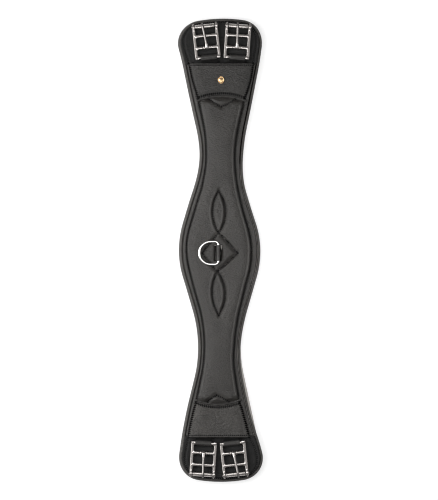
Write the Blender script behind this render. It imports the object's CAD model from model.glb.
"""Dressage girth: the visual model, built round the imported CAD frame. Shapes are worked out in millimetres
in the row frame (+Y along the girth, +X across it, +Z away from the horse) and written in metres."""

import math

import bpy
import numpy as np
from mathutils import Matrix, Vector


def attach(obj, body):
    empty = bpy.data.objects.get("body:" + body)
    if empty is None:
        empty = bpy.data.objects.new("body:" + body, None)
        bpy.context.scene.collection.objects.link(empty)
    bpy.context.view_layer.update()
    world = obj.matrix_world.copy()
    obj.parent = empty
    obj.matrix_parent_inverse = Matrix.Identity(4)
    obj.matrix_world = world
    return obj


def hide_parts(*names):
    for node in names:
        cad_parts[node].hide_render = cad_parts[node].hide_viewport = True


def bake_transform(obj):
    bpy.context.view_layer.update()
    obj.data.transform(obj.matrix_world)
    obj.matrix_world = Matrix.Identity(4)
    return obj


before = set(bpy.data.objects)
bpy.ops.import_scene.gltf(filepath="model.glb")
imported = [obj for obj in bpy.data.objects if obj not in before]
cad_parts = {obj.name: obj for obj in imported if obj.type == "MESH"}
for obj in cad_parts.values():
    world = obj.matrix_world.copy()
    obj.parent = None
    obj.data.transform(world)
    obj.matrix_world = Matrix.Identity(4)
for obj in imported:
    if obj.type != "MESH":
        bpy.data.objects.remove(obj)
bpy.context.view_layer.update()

scene = bpy.context.scene
MM = 0.001

# ---------------- driving dimensions (as in the CAD)

CENTRE_HALF_WIDTH, CENTRE_RADIUS, CENTRE_FLANK = 57.6, 134.0, math.radians(16.76)
WAIST_HALF_WIDTH, WAIST_RADIUS, END_FLANK = 30.5, 183.6, math.radians(12.17)
CORNER_RADIUS, CORNER_X, END_RADIUS = 32.7, 27.0, 200.0

PANEL_INSET, SEAM_INSET, PANEL_END = 4.6, 10.7, 264.0
GUARD_INSET = 3.9
PATCH_MOUTH, PATCH_ARC, PATCH_CORNER, PATCH_INSET = 266.0, 221.0, 214.3, 9.2
PIPING_RADIUS = 1.35

BASE_BAR_Y, BAR_HEIGHT = 274.6, 14.6
SEATS = {"left": (-17.4, 6.0, 6.1), "right": (22.9, -3.7, 2.0)}  # x, lean, tongue's yaw
TONGUE_BAR, CENTRE_BAR, ROLLER_BAR = 13.9, 30.8, 44.1
RAIL_INNER, RAIL_WIDTH, PIN_BORE, EYE_BORE = 14.1, 4.4, 1.55, 1.85
CHAPE_OFFSET, CHAPE_HALF_WIDTH = 1.3, 11.5
RING_X, RING_Y, RING_Z = -2.8, -3.8, 18.2

STITCH_PITCH = 2.8

# ---------------- plan outline

centre_x = CENTRE_HALF_WIDTH - CENTRE_RADIUS
waist_x = WAIST_HALF_WIDTH + WAIST_RADIUS
flank1 = (centre_x + CENTRE_RADIUS * math.cos(CENTRE_FLANK), CENTRE_RADIUS * math.sin(CENTRE_FLANK))
waist_y = (
    flank1[1]
    + (flank1[0] - waist_x + WAIST_RADIUS * math.cos(CENTRE_FLANK)) / math.tan(CENTRE_FLANK)
    + WAIST_RADIUS * math.sin(CENTRE_FLANK)
)
flank2 = (waist_x - WAIST_RADIUS * math.cos(END_FLANK), waist_y + WAIST_RADIUS * math.sin(END_FLANK))
corner_y = (
    flank2[1]
    + (CORNER_X + CORNER_RADIUS * math.cos(END_FLANK) - flank2[0]) / math.tan(END_FLANK)
    + CORNER_RADIUS * math.sin(END_FLANK)
)
end_angle = math.acos(CORNER_X / (END_RADIUS - CORNER_RADIUS))
end_y = corner_y - (END_RADIUS - CORNER_RADIUS) * math.sin(end_angle)


def inset_of(x, y):
    """How far (x, y) lies inside the outline, measured square to it."""
    x, y = np.abs(x), np.abs(y)
    across, along = waist_x - x, y - waist_y
    turn = np.arctan2(along, across)
    waist = np.hypot(across, along) - WAIST_RADIUS
    inner_flank = -((x - flank1[0]) * math.cos(CENTRE_FLANK) + (y - flank1[1]) * math.sin(CENTRE_FLANK))
    centre = CENTRE_RADIUS - np.hypot(x - centre_x, y)
    inner = np.where(np.arctan2(y, x - centre_x) < CENTRE_FLANK, centre, inner_flank)
    outer_flank = -((x - flank2[0]) * math.cos(END_FLANK) - (y - flank2[1]) * math.sin(END_FLANK))
    corner_turn = np.arctan2(y - corner_y, x - CORNER_X)
    corner = CORNER_RADIUS - np.hypot(x - CORNER_X, y - corner_y)
    end = END_RADIUS - np.hypot(x, y - end_y)
    past_flank = (x - CORNER_X) * math.sin(END_FLANK) + (y - corner_y) * math.cos(END_FLANK) > 0
    at_end = np.arctan2(y - end_y, x) > end_angle
    outer = np.where(past_flank, np.where(at_end, end, corner), outer_flank)
    outer = np.where(past_flank & ~at_end & (corner_turn > end_angle + 0.01), end, outer)
    return np.where(turn < -CENTRE_FLANK, inner, np.where(turn > END_FLANK, outer, waist))


def half_width(y, inset=0.0):
    """Half the width at y, moved in by inset."""
    y = np.abs(np.asarray(y, float))
    r = CENTRE_RADIUS - inset
    reach = WAIST_RADIUS + inset
    c = CORNER_RADIUS - inset
    x1 = centre_x + r * math.cos(CENTRE_FLANK)
    y1 = r * math.sin(CENTRE_FLANK)
    y2 = waist_y - reach * math.sin(CENTRE_FLANK)
    y3 = waist_y + reach * math.sin(END_FLANK)
    x3 = waist_x - reach * math.cos(END_FLANK)
    y4 = corner_y - c * math.sin(END_FLANK)
    y5 = corner_y + c * math.sin(end_angle)
    return np.select(
        [y <= y1, y < y2, y <= y3, y < y4, y < y5],
        [
            centre_x + np.sqrt(np.maximum(r**2 - y**2, 0)),
            x1 - (y - y1) * math.tan(CENTRE_FLANK),
            waist_x - np.sqrt(np.maximum(reach**2 - (y - waist_y) ** 2, 0)),
            x3 + (y - y3) * math.tan(END_FLANK),
            CORNER_X + np.sqrt(np.maximum(c**2 - (y - corner_y) ** 2, 0)),
        ],
        np.sqrt(np.maximum((END_RADIUS - inset) ** 2 - (y - end_y) ** 2, 0)),
    )


def outline(inset, spacing=1.6):
    """The outline moved in by inset, anticlockwise from the middle of the right side. The point count doesn't
    depend on inset."""

    def arc(cx, cy, radius, a0, a1, full):
        n = max(2, round(abs(a1 - a0) * full / spacing))
        a = np.linspace(a0, a1, n + 1)[:-1]
        return np.c_[cx + radius * np.cos(a), cy + radius * np.sin(a)]

    def line(p, q, full):
        n = max(2, round(full / spacing))
        t = np.linspace(0, 1, n + 1)[:-1, None]
        return np.array(p) * (1 - t) + np.array(q) * t

    r, w, c = CENTRE_RADIUS - inset, WAIST_RADIUS + inset, CORNER_RADIUS - inset
    s1 = arc(centre_x, 0, r, 0, CENTRE_FLANK, CENTRE_RADIUS)
    p1 = (centre_x + r * math.cos(CENTRE_FLANK), r * math.sin(CENTRE_FLANK))
    p2 = (waist_x - w * math.cos(CENTRE_FLANK), waist_y - w * math.sin(CENTRE_FLANK))
    s2 = line(p1, p2, 40)
    s3 = arc(waist_x, waist_y, -w, CENTRE_FLANK, -END_FLANK, WAIST_RADIUS)
    p3 = (waist_x - w * math.cos(END_FLANK), waist_y + w * math.sin(END_FLANK))
    p4 = (CORNER_X + c * math.cos(END_FLANK), corner_y - c * math.sin(END_FLANK))
    s4 = line(p3, p4, 110)
    s5 = arc(CORNER_X, corner_y, c, -END_FLANK, end_angle, CORNER_RADIUS)
    s6 = arc(0, end_y, END_RADIUS - inset, end_angle, math.pi / 2, END_RADIUS)
    quarter = np.concatenate([s1, s2, s3, s4, s5, s6])
    top = np.array([[0, end_y + END_RADIUS - inset]])
    left = quarter[:0:-1] * (-1, 1)
    upper = np.concatenate([quarter, top, left, [[-CENTRE_HALF_WIDTH + inset, 0]]])
    lower = -upper[1:-1]
    return np.concatenate([upper, lower])


def smooth_curve(knots, spread=9.0):
    """A function of y through the knots' values, with its corners rounded off."""
    grid = np.arange(-360.0, 361.0, 1.0)
    values = np.interp(grid, *zip(*knots))
    kernel = np.exp(-((np.arange(-30, 31) / spread) ** 2) / 2)
    padded = np.pad(values, 30, mode="edge")
    smooth = np.convolve(padded, kernel / kernel.sum(), mode="valid")
    return lambda y: np.interp(y, grid, smooth)


# How the soft body lies: it snakes a little along its length, and is pulled wider or narrower in places.
lie_shift = smooth_curve([
    (-330, 0.5), (-308, 1.2), (-290, 1.0), (-276, 0.0), (-258, -1.7), (-236, -2.9), (-216, -3.1), (-180, -2.3),
    (-140, -1.5), (-104, -0.5), (-60, -0.5), (-20, -0.9), (20, -1.1), (62, -1.8), (82, -1.8), (100, -0.8),
    (120, 0.7), (140, 1.8), (160, 1.8), (200, 1.4), (240, 1.0), (270, 0.9), (292, -0.7), (310, -0.6),
    (330, 0.1),
])  # fmt: skip
lie_width = smooth_curve([
    (-330, 0.8), (-296, -0.1), (-276, 0.4), (-240, -0.8), (-180, -1.6), (-140, -0.2), (-100, 1.2), (-50, 0.7),
    (0, 0.5), (40, 0.2), (82, -0.3), (120, -0.0), (160, 1.6), (185, 1.8), (225, 1.5), (270, 0.7), (300, 0.1),
    (330, 0.6),
])  # fmt: skip
# Where the side seams run: their distance in from the left and the right edge, along x.
seam_from_left = smooth_curve([
    (-262, 9.4), (-245, 9.5), (-228, 10.3), (-213, 11.1), (-199, 10.6), (-182, 9.6), (-165, 9.5), (-136, 9.1),
    (-119, 9.3), (-102, 9.8), (-85, 10.6), (-62, 10.8), (-45, 11.4), (-31, 12.2), (-17, 11.7), (0, 10.9),
    (12, 10.8), (35, 11.7), (52, 11.9), (86, 11.9), (103, 10.5), (120, 9.9), (140, 9.2), (154, 9.7),
    (177, 11.2), (200, 11.6), (217, 11.7), (228, 10.9), (243, 9.3), (262, 9.4),
], 4.0)  # fmt: skip
seam_from_right = smooth_curve([
    (-262, 11.9), (-245, 10.7), (-228, 11.0), (-216, 12.1), (-199, 11.6), (-182, 11.1), (-154, 10.2),
    (-136, 9.1), (-114, 9.3), (-91, 10.5), (-68, 11.5), (-51, 12.6), (-17, 12.7), (12, 13.0), (35, 13.5),
    (57, 12.8), (74, 11.5), (97, 10.2), (120, 10.9), (143, 11.9), (183, 11.8), (206, 11.3), (217, 10.9),
    (228, 9.3), (243, 7.7), (262, 8.5),
], 4.0)  # fmt: skip


def soft_step(t):
    """0 below t = 0 and 1 above t = 1, with a smooth rise between."""
    t = np.clip(t, 0, 1)
    return t * t * (3 - 2 * t)


def shoulder(t):
    """A quarter round: steep at t = 0, level from t = 1 on."""
    return np.sqrt(1 - (1 - np.clip(t, 0, 1)) ** 2)


def bell(t):
    """1 at t = 0, falling to nothing on both sides by about 2."""
    return np.exp(-(t**2))


def unit(vectors):
    return vectors / np.linalg.norm(vectors, axis=-1, keepdims=True)


def round_angles(sides):
    return np.linspace(0, 2 * math.pi, sides, endpoint=False)


def laid(x, y, on_face=True):
    """Where a point of the regular plan lies on the girth as it is."""
    x, y = np.asarray(x, float), np.asarray(y, float)
    moved = x
    if on_face:
        seam = half_width(y, SEAM_INSET)
        regular = half_width(y) - seam
        fade = 1 - soft_step((np.abs(y) - 262) / 20)
        share = np.clip(x / np.maximum(seam, 1), -1, 1) / 2
        by_seam = (0.5 - share) * (seam_from_left(y) - regular) - (0.5 + share) * (seam_from_right(y) - regular)
        moved = x + by_seam * fade * soft_step((inset_of(x, y) - 4.7) / 5.6)
    width = half_width(np.clip(y, -300, 300))
    turned = soft_step((y - 262) / 60) * 0.9 * x / 45
    return moved * (1 + lie_width(y) / width) + lie_shift(y), y + turned


def waves(x, y, wavelength, seed, octaves=3):
    """Smooth pseudo-random waves in -1 to 1, the same on every run."""
    made = np.random.default_rng(seed)
    total, weight = np.zeros(np.broadcast(x, y).shape), 0.0
    for octave in range(octaves):
        for _ in range(4):
            angle, phase = made.uniform(0, math.pi), made.uniform(0, 2 * math.pi)
            k = 2 * math.pi / (wavelength / 1.9**octave * made.uniform(0.8, 1.25))
            total = total + np.sin(k * (x * math.cos(angle) + y * math.sin(angle)) + phase) / 1.8**octave
        weight += 4 / 1.8**octave
    return total / weight * 1.8


# ---------------- meshes


def grid_faces(rows, cols, around=False):
    """Quads of a rows by cols grid of points; around closes it along the columns."""
    i = np.arange(rows - 1)[:, None] * cols
    j = np.arange(cols if around else cols - 1)[None, :]
    k = (j + 1) % cols
    return np.stack([i + j, i + k, i + cols + k, i + cols + j], -1).reshape(-1, 4)


def mesh_piece(name, points, faces, material, body=None, slot=None, nodes=(), normals=None, seam=None):
    """A mesh from points in mm, riding on a body and standing for CAD nodes."""
    mesh = bpy.data.meshes.new(name)
    mesh.from_pydata((np.asarray(points, float) * MM).tolist(), [], [list(map(int, f)) for f in faces])
    mesh.validate()
    mesh.polygons.foreach_set("use_smooth", [True] * len(mesh.polygons))
    if seam is not None:
        mesh.attributes.new("seam", "FLOAT", "POINT").data.foreach_set("value", np.asarray(seam, np.float32))
    if normals is not None:
        mesh.normals_split_custom_set_from_vertices(normals.tolist())
    mesh.materials.append(material)
    piece = bpy.data.objects.new(name, mesh)
    scene.collection.objects.link(piece)
    if body:
        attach(piece, body)
    if nodes:
        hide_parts(*nodes)
    return piece


def closed_sheet(top, bottom):
    """Points and faces of a closed body between two grids of rows x cols x 3."""
    rows, cols = top.shape[:2]
    n = rows * cols
    upper = grid_faces(rows, cols)
    rim = np.concatenate([
        np.arange(cols),
        np.arange(1, rows) * cols + cols - 1,
        (rows - 1) * cols + np.arange(cols - 2, -1, -1),
        np.arange(rows - 2, 0, -1) * cols,
    ])
    after = np.roll(rim, -1)
    wall = np.stack([rim, rim + n, after + n, after], -1)
    faces = np.concatenate([upper, upper[:, ::-1] + n, wall])
    points = np.concatenate([top.reshape(-1, 3), bottom.reshape(-1, 3)])
    # Upward faces need the rows to run so that x cross y is up.
    a, b, c = points[upper[len(upper) // 2, :3]]
    if np.cross(b - a, c - a)[2] < 0:
        faces = faces[:, ::-1]
    return points, faces


def sheet_over(x, y, top, low):
    """A closed sheet over a grid of plan points, between two heights."""
    return closed_sheet(np.stack([x, y, top], -1), np.stack([x, y, low], -1))


def both_faces(line, half, bump=0.0):
    """Both faces of a strip of leather along a middle line, half being its half thickness across its width."""
    tangent = unit(np.gradient(line, axis=0))
    normal = np.c_[tangent[:, 1], -tangent[:, 0]][:, None]
    return line[:, None] + normal * (half + bump)[..., None], line[:, None] - normal * half[:, None]


def crowded(count, crowding):
    """count values from -1 to 1 that lie closer together towards both ends."""
    return np.sin(np.linspace(-1, 1, count) * crowding) / math.sin(crowding)


def tube_faces(rows, sides, closed):
    """Faces over rows rings of points, joined last to first or shut by a face at each end."""
    faces = grid_faces(rows, sides, around=True).tolist()
    last = (rows - 1) * sides
    if closed:
        faces += [[last + j, last + (j + 1) % sides, (j + 1) % sides, j] for j in range(sides)]
    else:
        faces += [list(range(sides))[::-1], list(range(last, last + sides))]
    return [f[::-1] for f in faces]


def swept(path, radius, sides, closed=False):
    """A round tube along a path, with rounded ends unless it is closed."""
    scale = np.ones(len(path))
    if not closed:
        caps = np.array([0.25, 0.7, 1.0])[:, None]
        shrink = np.sqrt(1 - (caps[:, 0] * 0.985) ** 2)
        start = path[0] + unit(path[0] - path[1]) * radius * caps[::-1]
        stop = path[-1] + unit(path[-1] - path[-2]) * radius * caps
        path = np.concatenate([start, path, stop])
        scale = np.concatenate([shrink[::-1], scale, shrink])
    tangent = unit(np.roll(path, -1, 0) - np.roll(path, 1, 0) if closed else np.gradient(path, axis=0))
    side = unit(np.cross([0, 0, 1.0], tangent))
    over = np.cross(tangent, side)
    a, r = round_angles(sides), radius * scale[:, None]
    points = path[:, None] + side[:, None] * (r * np.cos(a))[..., None]
    points = points + over[:, None] * (r * np.sin(a))[..., None]
    return points.reshape(-1, 3), tube_faces(len(path), sides, closed)


def lathe(profile, sides, axis="x", closed=False):
    """A body of revolution from a profile of (radius, distance along the axis)."""
    a = round_angles(sides)
    points = np.concatenate([np.c_[np.full(sides, d), r * np.cos(a), r * np.sin(a)] for r, d in profile])
    if axis == "z":
        points = points[:, [1, 2, 0]]
    return points, tube_faces(len(profile), sides, closed)


def merge(parts):
    """Several (points, faces) as one."""
    points, faces, at = [], [], 0
    for p, f in parts:
        points.append(np.asarray(p))
        faces += [[int(i) + at for i in face] for face in f]
        at += len(p)
    return np.concatenate(points), faces


# ---------------- cast metal from a distance field


def blended(a, b, k):
    """The union of two distance fields, with a fillet of about k."""
    h = np.clip(0.5 + 0.5 * (b - a) / k, 0, 1)
    return b * (1 - h) + a * h - k * h * (1 - h)


def field_bar(p, a, b, ra, rb=None):
    """A capsule from a to b, whose radius may change."""
    a, b = np.array(a, float), np.array(b, float)
    rb = ra if rb is None else rb
    t = np.clip((p - a) @ (b - a) / ((b - a) @ (b - a)), 0, 1)
    return np.linalg.norm(p - a - t[..., None] * (b - a), axis=-1) - (ra + (rb - ra) * t)


def field_disc(p, centre, radius, half, round_by):
    """A rounded cylinder along X."""
    q = p - np.array(centre, float)
    radial = np.hypot(q[..., 1], q[..., 2]) - (radius - round_by)
    axial = np.abs(q[..., 0]) - (half - round_by)
    outside = np.hypot(np.maximum(radial, 0), np.maximum(axial, 0))
    return outside + np.minimum(np.maximum(radial, axial), 0) - round_by


def field_mesh(field, low, high, step):
    """Surface nets over a distance field, with every point then drawn onto the field's zero."""
    axes = [np.arange(lo, hi + step, step) for lo, hi in zip(low, high)]
    p = np.stack(np.meshgrid(*axes, indexing="ij"), -1)
    f = field(p)
    inside = f < 0
    shape = np.array(f.shape) - 1
    count = np.zeros(shape, int)
    for dx in (0, 1):
        for dy in (0, 1):
            for dz in (0, 1):
                count += inside[dx : shape[0] + dx, dy : shape[1] + dy, dz : shape[2] + dz]
    mixed = (count > 0) & (count < 8)
    index = np.full(shape, -1)
    index[mixed] = np.arange(mixed.sum())
    cells = np.argwhere(mixed)
    points = np.array([ax[0] for ax in axes]) + (cells + 0.5) * step
    quads = []
    for axis in range(3):
        u, v = (axis + 1) % 3, (axis + 2) % 3
        lo = [slice(1, -1)] * 3
        hi = [slice(1, -1)] * 3
        lo[axis], hi[axis] = slice(0, -1), slice(1, None)
        a, b = inside[tuple(lo)], inside[tuple(hi)]
        for sign, found in ((1, a & ~b), (-1, ~a & b)):
            at = np.argwhere(found)
            base = at + 1
            base[:, axis] = at[:, axis]
            corner = []
            for du, dv in ((-1, -1), (0, -1), (0, 0), (-1, 0)):
                c = base.copy()
                c[:, u] += du
                c[:, v] += dv
                corner.append(index[tuple(c.T)])
            quad = np.stack(corner, -1)
            quads.append(quad if sign > 0 else quad[:, ::-1])
    h = step * 0.05
    for _ in range(5):
        value = field(points)
        slope = np.stack([
            (field(points + np.eye(3)[k] * h) - field(points - np.eye(3)[k] * h)) / (2 * h) for k in range(3)
        ], -1)  # fmt: skip
        length = np.maximum((slope**2).sum(-1), 1e-3)
        move = value[:, None] * slope / length[:, None]
        points = points - np.clip(move, -step, step) * 0.9
    return points, np.concatenate(quads), slope / np.linalg.norm(slope, axis=1, keepdims=True)


# ---------------- materials


class Nodes:
    """A short way to write a node material."""

    def __init__(self, name):
        self.material = bpy.data.materials.new(name)
        self.material.use_nodes = True
        self.tree = self.material.node_tree
        self.shader = self.tree.nodes["Principled BSDF"]
        self.where = self.tree.nodes.new("ShaderNodeTexCoord").outputs["Object"]

    def node(self, kind, inputs=None, **settings):
        made = self.tree.nodes.new(kind)
        for key, value in settings.items():
            setattr(made, key, value)
        for key, value in (inputs or {}).items():
            self.feed(made.inputs[key], value)
        return made

    def feed(self, socket, value):
        if isinstance(value, bpy.types.NodeSocket):
            self.tree.links.new(value, socket)
        else:
            socket.default_value = value

    def noise(self, scale, detail=3.0, roughness=0.55, vector=None, distortion=0.0):
        inputs = {
            "Vector": vector or self.where,
            "Scale": scale,
            "Detail": detail,
            "Roughness": roughness,
            "Distortion": distortion,
        }
        return self.node("ShaderNodeTexNoise", inputs).outputs["Fac"]

    def cells(self, scale, feature="F1"):
        inputs = {"Vector": self.where, "Scale": scale}
        return self.node("ShaderNodeTexVoronoi", inputs, feature=feature).outputs["Distance"]

    def add(self, a, b):
        return self.node("ShaderNodeMath", {0: a, 1: b}, operation="ADD").outputs[0]

    def times(self, a, b):
        return self.node("ShaderNodeMath", {0: a, 1: b}, operation="MULTIPLY").outputs[0]

    def remap(self, value, low, high, to_low, to_high):
        inputs = {"Value": value, "From Min": low, "From Max": high, "To Min": to_low, "To Max": to_high}
        return self.node("ShaderNodeMapRange", inputs).outputs["Result"]

    def mix(self, factor, a, b):
        made = self.node("ShaderNodeMix", data_type="RGBA", blend_type="MIX")
        self.feed(made.inputs["Factor"], factor)
        self.feed(made.inputs["A"], a)
        self.feed(made.inputs["B"], b)
        return made.outputs["Result"]

    def bump(self, height, strength, distance):
        inputs = {"Height": height, "Strength": strength, "Distance": distance}
        return self.node("ShaderNodeBump", inputs).outputs["Normal"]

    def painted(self, name):
        """A value that the mesh carries at its points."""
        return self.node("ShaderNodeAttribute", attribute_name=name).outputs["Fac"]

    def stretched(self, scale, turn=0.0):
        inputs = {"Vector": self.where, "Rotation": (0, 0, turn), "Scale": scale}
        return self.node("ShaderNodeMapping", inputs).outputs["Vector"]

    def set(self, **inputs):
        for key, value in inputs.items():
            self.feed(self.shader.inputs[key.replace("_", " ")], value)
        return self.material


def grey(value, warm=0.0):
    return (value * (1 + warm), value, value * (1 - warm), 1.0)


def darker(colour, share):
    return (*(c * share for c in colour[:3]), 1.0)


def leather(name, dark, light, roughness=0.46, grain=1.0, crease=0.5, specular=0.45):
    n = Nodes(name)
    broad = n.noise(38.0, 3.0)
    patchy = n.noise(210.0, 4.0, 0.62)
    fine = n.noise(560.0, 4.0, 0.7)
    tone = n.add(n.add(n.times(broad, 0.3), n.times(patchy, 0.3)), n.times(fine, 0.55))
    colour = n.mix(n.remap(tone, 0.38, 0.78, 0.0, 1.0), dark, light)
    pebble = n.cells(820.0 / grain, feature="SMOOTH_F1")
    pores = n.cells(1900.0 / grain)
    folds = n.noise(330.0, 5.0, 0.66, distortion=0.8)
    drawn = n.noise(250.0, 3.0, 0.6, vector=n.stretched((1, 2.3, 1), 0.6))
    height = n.add(n.times(pebble, -0.55), n.times(pores, -0.16))
    for pattern, weight in ((folds, crease), (fine, 1.1), (drawn, 5.0 * crease)):
        height = n.add(height, n.times(pattern, weight))
    # In a seam the hide is worn and dusted less, and lies in the thread's shade.
    seam = n.painted("seam")
    return n.set(
        Base_Color=n.mix(seam, colour, grey(0.004)),
        Roughness=n.remap(patchy, 0.3, 0.7, roughness - 0.06, roughness + 0.09),
        Normal=n.bump(height, 0.75, 0.0006),
        Specular_IOR_Level=n.remap(seam, 0.0, 1.0, specular, 0.0),
    )


def thread(name, colour):
    n = Nodes(name)
    twist = n.node("ShaderNodeTexWave", {"Vector": n.where, "Scale": 900.0, "Distortion": 1.5}).outputs["Fac"]
    shade = n.mix(twist, darker(colour, 0.6), colour)
    return n.set(Base_Color=shade, Roughness=0.62, Normal=n.bump(twist, 0.5, 0.0001), Sheen_Weight=0.1)


def metal(name, colour, roughness, wear=0.5):
    n = Nodes(name)
    cloud = n.noise(120.0, 4.0, 0.6)
    scratches = n.noise(2600.0, 3.0, 0.7, vector=n.stretched((1.0, 7.0, 1.0)))
    shade = n.mix(n.remap(cloud, 0.3, 0.7, 0.0, 1.0), darker(colour, 0.82), colour)
    # The flanks that no strap rubs bright stay dull.
    shade = n.mix(n.painted("seam"), shade, darker(colour, 0.2))
    rough = n.remap(scratches, 0.3, 0.75, roughness * (1 - 0.35 * wear), roughness * (1 + 0.6 * wear))
    surface = n.add(n.times(scratches, 0.4), cloud)
    return n.set(Base_Color=shade, Metallic=1.0, Roughness=rough, Normal=n.bump(surface, 0.05, 0.00005))


def woven(name, dark, light, scale):
    n = Nodes(name)
    warp, weft = (
        n.node("ShaderNodeTexWave", {"Vector": n.where, "Scale": size}, bands_direction=way).outputs["Fac"]
        for way, size in (("X", scale), ("Y", scale * 0.7))
    )
    weave = n.times(warp, weft)
    shade = n.mix(n.add(weave, n.times(n.noise(2500.0, 2.0), 0.3)), dark, light)
    return n.set(Base_Color=shade, Roughness=0.85, Normal=n.bump(weave, 0.7, 0.0004), Sheen_Weight=0.25)


def foam(name, dark, light):
    n = Nodes(name)
    holes = n.cells(1400.0)
    shade = n.mix(n.remap(holes, 0.0, 0.6, 0.0, 1.0), dark, light)
    return n.set(Base_Color=shade, Roughness=0.95, Normal=n.bump(holes, 0.8, 0.0004))


panel_leather = leather("panel_leather", grey(0.011, 0.1), grey(0.034, 0.1))
patch_leather = leather("patch_leather", grey(0.011, 0.08), grey(0.038, 0.08), crease=1.0)
worn_leather = leather("worn_leather", grey(0.018, 0.08), grey(0.066, 0.08), 0.44, crease=1.2)
rim_leather = leather("rim_leather", grey(0.024, 0.09), grey(0.058, 0.09), 0.42)
guard_leather = leather("guard_leather", grey(0.006, 0.03), grey(0.013, 0.03), 0.5, grain=0.8, specular=0.25)
chape_leather = leather("chape_leather", grey(0.016, 0.07), grey(0.036, 0.07), 0.42, grain=0.7)
black_thread = thread("black_thread", grey(0.01))
steel = metal("steel", (0.56, 0.525, 0.505, 1.0), 0.26, wear=0.2)
ring_steel = metal("ring_steel", (0.8, 0.78, 0.76, 1.0), 0.13)
gold = metal("gold", (0.83, 0.56, 0.3, 1.0), 0.25)
elastic_weave = woven("elastic_weave", grey(0.006), grey(0.022), 900.0)
web_weave = woven("web_weave", grey(0.006), grey(0.018), 500.0)
core_foam = foam("core_foam", grey(0.2, 0.05), grey(0.42, 0.05))

for node, material in (("foam_core", core_foam), ("load_web", web_weave)):
    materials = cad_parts[node].data.materials
    materials.clear()
    materials.append(material)

# ---------------- seams


def arc_through(p, q, bulge):
    """Points every 0.5 mm on the arc from p to q that bows out sideways by bulge, to the left if positive."""
    p, q = np.array(p, float), np.array(q, float)
    chord = np.linalg.norm(q - p)
    side = np.array([-(q - p)[1], (q - p)[0]]) / chord
    t = np.linspace(0, 1, max(2, int(chord / 0.5)))[:, None]
    radius = (chord**2 / 4 + bulge**2) / (2 * abs(bulge))
    half = math.asin(min(1, chord / (2 * radius)))
    a = (2 * t - 1) * half
    rise = (np.cos(a) - math.cos(half)) * radius * math.copysign(1, bulge)
    return (p + q) / 2 + (q - p) / chord * radius * np.sin(a) + side * rise


CROSS_TOP, CROSS_BOTTOM = (-1.9, 24.6), (-4.2, -29.9)
LENS_TOP, LENS_BOTTOM = (-2.1, 84.5), (-2.2, -92.2)
DIAMOND_RIGHT, DIAMOND_LEFT = (24.6, -4.2), (-25.6, -4.0)
# Each seam: its path, how deep it draws, and how far the dip reaches to the left and right of the path.
face_seams = [
    (arc_through(CROSS_TOP, LENS_TOP, 9.0), 2.6, 1.0, 3.2),
    (arc_through(CROSS_TOP, LENS_TOP, -9.4), 3.4, 1.7, 2.6),
    (arc_through(LENS_BOTTOM, CROSS_BOTTOM, 8.2), 2.6, 1.0, 3.2),
    (arc_through(LENS_BOTTOM, CROSS_BOTTOM, -10.2), 3.4, 1.7, 2.6),
    (arc_through(CROSS_TOP, DIAMOND_RIGHT, 0.8), 3.4, 1.0, 2.3),
    (arc_through(DIAMOND_RIGHT, CROSS_BOTTOM, 0.8), 3.4, 1.0, 2.3),
    (arc_through(CROSS_BOTTOM, DIAMOND_LEFT, 0.8), 2.8, 2.4, 1.5),
    (arc_through(DIAMOND_LEFT, CROSS_TOP, 0.8), 2.8, 2.4, 1.5),
]
dart_seams = [
    (arc_through((-17.5, 216.5), (2.0, 204.4), -0.8), 2.3, 2.0, 2.6),
    (arc_through((2.0, 204.4), (21.5, 215.5), -0.8), 2.3, 2.0, 2.6),
    (arc_through((-18.0, -216.0), (-5.2, -206.4), 0.8), 2.3, 2.6, 2.0),
    (arc_through((-5.2, -206.4), (14.0, -217.0), 0.8), 2.3, 2.6, 2.0),
]


def nearest(seam, x, y):
    """Signed distance to a seam, positive to its left, and the length along it."""
    shape = x.shape
    p = np.c_[x.ravel(), y.ravel()]
    away, along = np.full(len(p), 1e3), np.zeros(len(p))
    length = np.r_[0, np.cumsum(np.linalg.norm(np.diff(seam, axis=0), axis=1))]
    ahead = np.gradient(seam, axis=0)
    low, high = seam.min(0) - 16, seam.max(0) + 16
    near = np.flatnonzero(((p > low) & (p < high)).all(1))
    for part in np.array_split(near, max(1, len(near) // 20000)):
        d = np.linalg.norm(p[part, None] - seam[None], axis=2)
        k = d.argmin(1)
        gap = p[part] - seam[k]
        side = np.sign(ahead[k, 0] * gap[:, 1] - ahead[k, 1] * gap[:, 0])
        away[part] = d[np.arange(len(part)), k] * np.where(side == 0, 1, side)
        along[part] = length[k]
    return away.reshape(shape), along.reshape(shape)


# ---------------- the soft surfaces' heights

# Heights of the face panel's border, its valleys and its pillow over them, and of the other leathers.
BORDER_TOP, VALLEY_LEVEL, PILLOW_RISE = 10.95, 9.75, 5.9
GUARD_LEVEL, PATCH_LEVEL, PATCH_RISE, CUT_EDGE_FOOT = 10.75, 11.5, 5.5, 8.3
# How far in from its curved edge and from its mouth a patch is stitched.
PATCH_SEAM, MOUTH_SEAM = 2.3, 2.6
PATCH_SEEDS = {1: 31, -1: 57}

arc_half = float(half_width(PATCH_CORNER, PATCH_INSET))
arc_rise = PATCH_ARC - PATCH_CORNER
arc_radius = (arc_half**2 + arc_rise**2) / (2 * arc_rise)


def past_arc(x, y):
    """How far (x, y) lies beyond the patch's curved edge, towards the mouth."""
    return np.hypot(x, np.maximum(np.abs(y) - (PATCH_ARC - arc_radius), 0)) - arc_radius


def stitched(off, along, reach=0.85):
    """How far a point is in a stitched line: 1 on it, with the stitches' teeth along both edges."""
    teeth = 0.85 * np.cos(2 * math.pi * along / STITCH_PITCH)
    return soft_step((reach * (1 + teeth) - off) / 0.5 + 0.5)


PUFF_Y, PUFF_SHARE = np.arange(-204.0, 204.1, 4.0), np.linspace(-1, 1, 27)
PUFF_INSET, PUFF_CAP = SEAM_INSET + 0.6, 1.1
puff = {"lift": None}  # filled in once the simulation has run


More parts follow.
